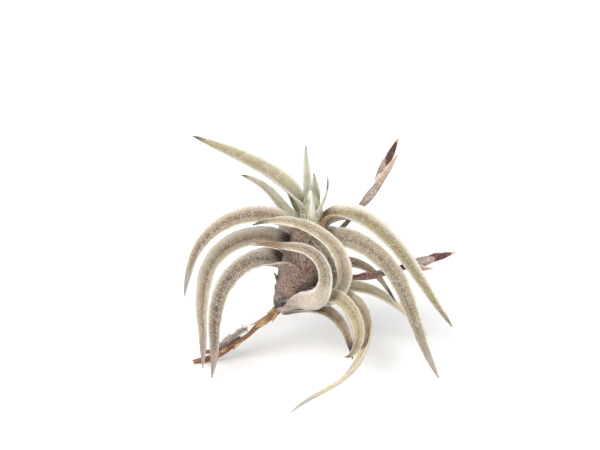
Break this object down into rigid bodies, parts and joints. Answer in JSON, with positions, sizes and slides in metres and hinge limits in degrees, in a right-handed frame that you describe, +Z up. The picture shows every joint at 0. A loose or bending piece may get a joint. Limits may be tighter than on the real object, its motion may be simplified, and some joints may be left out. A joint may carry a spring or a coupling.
{
  "type": "air plant",
  "caption": "Small silvery air plant as picked, with channelled leaves curling outward from a short stem, a dry wiry stem and two dry flower spikes.",
  "frame": {"origin": "middle of the plant's box in X and Y, on the surface it rests on", "axes": "+Z up from the surface; +X toward the side with the two flower spikes; -Y toward the two forward curling leaves"},
  "size_m": [0.0558, 0.0429, 0.0498],
  "materials": {
    "sheath": "matte",
    "silver_leaf": "matte",
    "tan_leaf": "matte",
    "pale_leaf": "matte",
    "young_leaf": "matte",
    "brown_leaf": "matte",
    "dry_sheath": "matte",
    "stem": "matte",
    "root": "matte",
    "fuzz": "matte",
    "stalk": "matte",
    "mauve_bract": "matte",
    "tan_bract": "matte",
    "maroon_bract": "matte"
  },
  "bodies": {
    "root": {"leaf_core": "sheath", "leaf_lead_left": "tan_leaf", "leaf_short_left": "silver_leaf", "leaf_arch_left_upper": "silver_leaf", "leaf_arch_left_middle": "silver_leaf", "leaf_arch_left_lower": "silver_leaf", "leaf_curl_front_upper": "pale_leaf", "leaf_curl_front_lower": "pale_leaf", "leaf_curl_front_inner": "brown_leaf", "leaf_hook_lower": "silver_leaf", "leaf_long_lower": "tan_leaf", "leaf_tucked_lower": "brown_leaf", "leaf_arch_right_upper": "tan_leaf", "leaf_arch_right_middle": "silver_leaf", "leaf_pale_right": "pale_leaf", "leaf_brown_right": "brown_leaf", "leaf_crown_tall": "young_leaf", "leaf_crown_short": "young_leaf", "leaf_crown_thin": "young_leaf", "leaf_crown_green": "young_leaf", "leaf_crown_bud": "young_leaf", "leaf_prop_rear": "brown_leaf", "leaf_rear_left_upper": "silver_leaf", "leaf_rear_left_lower": "silver_leaf", "leaf_rear_right_upper": "silver_leaf", "leaf_rear_right_lower": "tan_leaf", "leaf_back_upper": "silver_leaf", "leaf_back_left": "silver_leaf", "leaf_back_right": "tan_leaf", "leaf_back_lower": "silver_leaf", "sheath_old_left": "dry_sheath", "sheath_broad_front": "sheath", "sheath_old_back": "dry_sheath", "dry_stem": "stem", "sheath_torn_stub": "dry_sheath", "side_root": "root", "root_hair_tuft": "fuzz", "spike_upper_stalk": "stalk", "spike_side_stalk": "stalk", "spike_upper_bract_1": "mauve_bract", "spike_upper_bract_2": "tan_bract", "spike_upper_bract_3": "mauve_bract", "spike_upper_bract_4": "maroon_bract", "spike_side_bract_1": "mauve_bract", "spike_side_bract_2": "mauve_bract", "spike_side_bract_3": "maroon_bract", "spike_side_bract_4": "mauve_bract", "spike_side_bract_5": "tan_bract", "spike_side_bract_6": "maroon_bract"}
  },
  "joints": []
}
